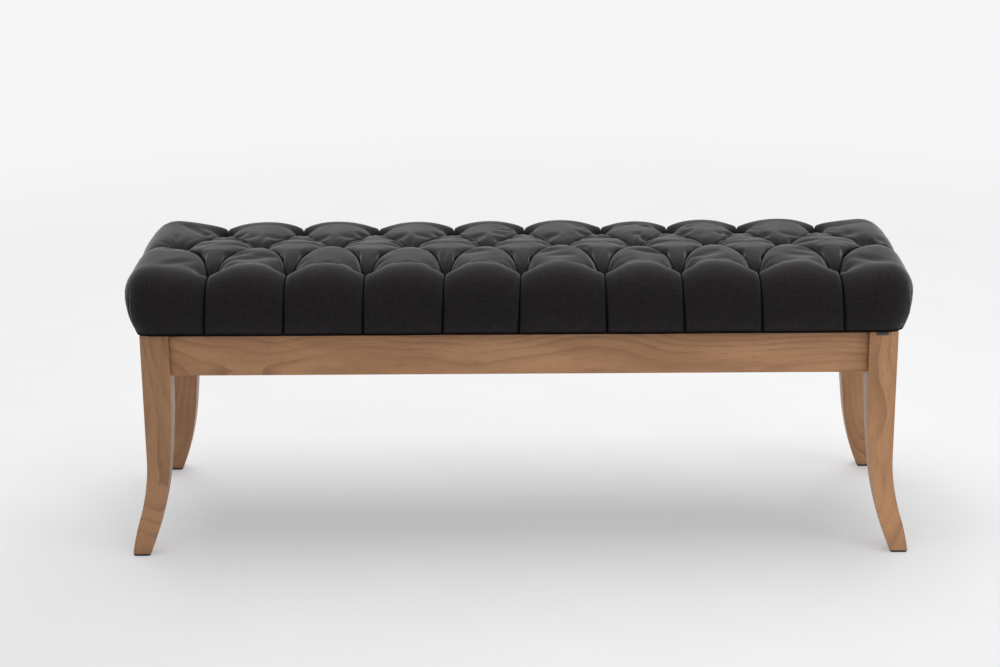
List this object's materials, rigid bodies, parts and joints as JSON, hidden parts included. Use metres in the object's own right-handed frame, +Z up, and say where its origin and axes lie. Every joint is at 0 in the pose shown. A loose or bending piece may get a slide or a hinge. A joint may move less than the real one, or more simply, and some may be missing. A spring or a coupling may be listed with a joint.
{
  "type": "upholstered bench",
  "caption": "Backless bench with a diamond-tufted dark fabric cushion on a wooden apron frame with four outward-curving square legs.",
  "frame": {"origin": "on the floor under the middle of the bench", "axes": "+X along the length, +Z up, the front at -Y"},
  "size_m": [1.19, 0.386, 0.4509],
  "materials": {
    "rubberwood": "thin oiled satin",
    "hidden_wood": "unfinished",
    "plywood": "unfinished",
    "cover_fabric": "matt slubby weave",
    "dust_cloth": "matt non-woven",
    "tag_cloth": "matt woven ribbon",
    "twine": "waxed",
    "foam": "matt foam",
    "glide_plastic": "matt",
    "anchor_plastic": "matt",
    "zinc_steel": "bright zinc"
  },
  "bodies": {
    "root": {"leg_front_left": "rubberwood", "leg_front_right": "rubberwood", "leg_back_left": "rubberwood", "leg_back_right": "rubberwood", "rail_front": "rubberwood", "rail_back": "rubberwood", "rail_left": "rubberwood", "rail_right": "rubberwood", "hanger_bolts": "zinc_steel", "bolt_nuts": "zinc_steel", "corner_block_front_left": "hidden_wood", "corner_block_front_right": "hidden_wood", "corner_block_back_left": "hidden_wood", "corner_block_back_right": "hidden_wood", "cross_slat_left": "hidden_wood", "cross_slat_right": "hidden_wood", "glide_front_left": "glide_plastic", "glide_front_right": "glide_plastic", "glide_back_left": "glide_plastic", "glide_back_right": "glide_plastic", "tuft_buttons": "cover_fabric", "tuft_twines": "twine", "twine_anchors": "anchor_plastic", "seat_board": "plywood", "seat_foam": "foam", "dust_cover": "dust_cloth", "seat_cover": "cover_fabric", "side_tag": "tag_cloth"}
  },
  "joints": []
}
